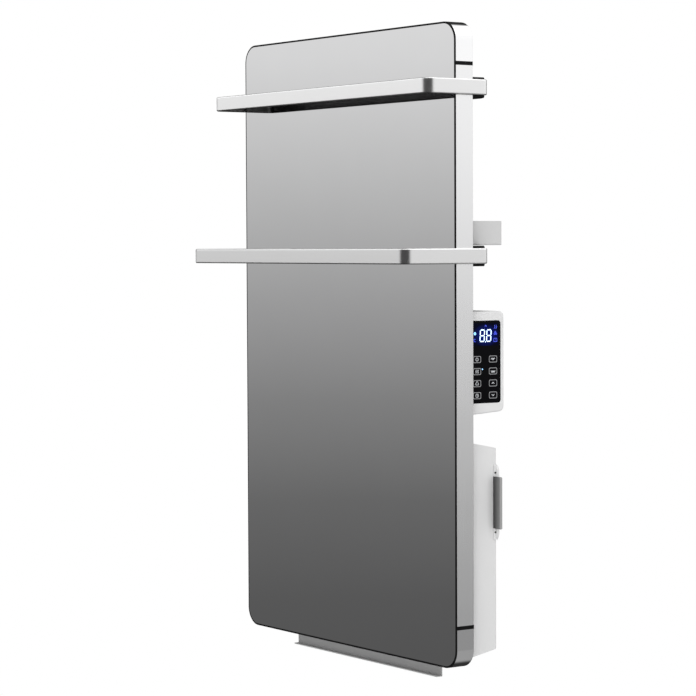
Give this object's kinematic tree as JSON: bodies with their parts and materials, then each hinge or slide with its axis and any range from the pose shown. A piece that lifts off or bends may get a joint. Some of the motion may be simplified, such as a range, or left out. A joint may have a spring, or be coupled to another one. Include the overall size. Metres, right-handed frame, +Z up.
{
  "type": "electric towel warmer",
  "caption": "Wall-hung mirror-glass radiant panel in a metal frame with wrap-round towel bars, a touch control box and a fan heater box behind it.",
  "frame": {"origin": "on the wall plane, at the middle of the wall rail's row of outer screw holes", "axes": "+X to the right as seen from the front, +Y into the wall, +Z up; the front faces -Y"},
  "size_m": [0.616, 0.209, 1.027],
  "materials": {
    "bar_metal": "satin anodised",
    "black_glass": "gloss",
    "black_plastic": "fine texture",
    "black_rubber": "satin",
    "board": "satin",
    "bronze": "sintered",
    "ceramic": "matt",
    "display": "gloss",
    "fan_plastic": "satin",
    "film": "satin",
    "fins": "mill",
    "flap_plastic": "satin",
    "grey_paint": "semi-matt",
    "grey_plastic": "fine texture",
    "insulation": "matt",
    "mesh": "matt",
    "mirror": "polished",
    "polished_cap": "polished",
    "red_rocker": "gloss",
    "silver_profile": "satin anodised",
    "steel": "ground",
    "white_plastic": "fine texture",
    "zinc_screw": "zinc plated",
    "zinc_sheet": "galvanised"
  },
  "bodies": {
    "panel": {"air_duct": "black_plastic", "box_screws": "zinc_screw", "cable_cover": "white_plastic", "cable_gland": "grey_plastic", "clamp_base_lower_left": "black_plastic", "clamp_base_lower_right": "black_plastic", "clamp_base_upper_left": "black_plastic", "clamp_base_upper_right": "black_plastic", "clamp_cap_lower_left": "black_plastic", "clamp_cap_lower_right": "black_plastic", "clamp_cap_upper_left": "black_plastic", "clamp_cap_upper_right": "black_plastic", "clamp_screws": "zinc_screw", "control_bezel": "white_plastic", "control_board": "board", "control_housing": "white_plastic", "display_module": "display", "edge_gasket": "black_rubber", "end_bearing": "bronze", "fan_housing": "white_plastic", "fan_motor": "zinc_sheet", "frame_bottom_cap": "polished_cap", "frame_left_profile": "silver_profile", "frame_right_profile": "silver_profile", "frame_top_cap": "polished_cap", "hang_hook_left": "zinc_sheet", "hang_hook_right": "zinc_sheet", "heater_holders": "ceramic", "heating_film": "film", "insulation_board": "insulation", "intake_grille": "white_plastic", "joint_strips": "black_rubber", "link_cable": "grey_plastic", "lock_screw": "black_plastic", "lower_bracket": "grey_paint", "mirror_glass": "mirror", "outlet_grille": "grey_plastic", "panel_thermostat": "steel", "power_board": "board", "ptc_heater": "fins", "rear_cover": "zinc_sheet", "small_screws": "zinc_screw", "switch_body": "black_plastic", "terminal_block": "black_plastic", "thermal_cutout": "steel", "touch_glass": "black_glass", "towel_bar_lower": "bar_metal", "towel_bar_upper": "bar_metal", "wall_bumpers": "black_rubber", "wall_rail": "grey_paint"},
    "flap": {"air_flap": "flap_plastic", "flap_pins": "steel"},
    "fan": {"fan_wheel": "fan_plastic", "fan_shaft": "steel"},
    "filter": {"filter_frame": "grey_plastic", "filter_mesh": "mesh", "filter_cap": "white_plastic", "filter_tab": "grey_plastic", "tab_screws": "black_plastic"},
    "rocker": {"rocker": "red_rocker"}
  },
  "joints": [
    {"name": "flap_hinge", "type": "hinge", "parent": "panel", "child": "flap", "pos_m": [0, -0.0615, -0.67], "axis": [1, 0, 0], "range_deg": [-30, 75]},
    {"name": "fan_spin", "type": "hinge", "parent": "panel", "child": "fan", "pos_m": [0, -0.048, -0.425], "axis": [1, 0, 0], "continuous": true},
    {"name": "filter_slide", "type": "slide", "parent": "panel", "child": "filter", "axis": [1, 0, 0], "range_m": [0, 0.42]},
    {"name": "rocker_tilt", "type": "hinge", "parent": "panel", "child": "rocker", "pos_m": [0.17, -0.04, -0.175], "axis": [0, 1, 0], "range_deg": [0, 18]}
  ]
}
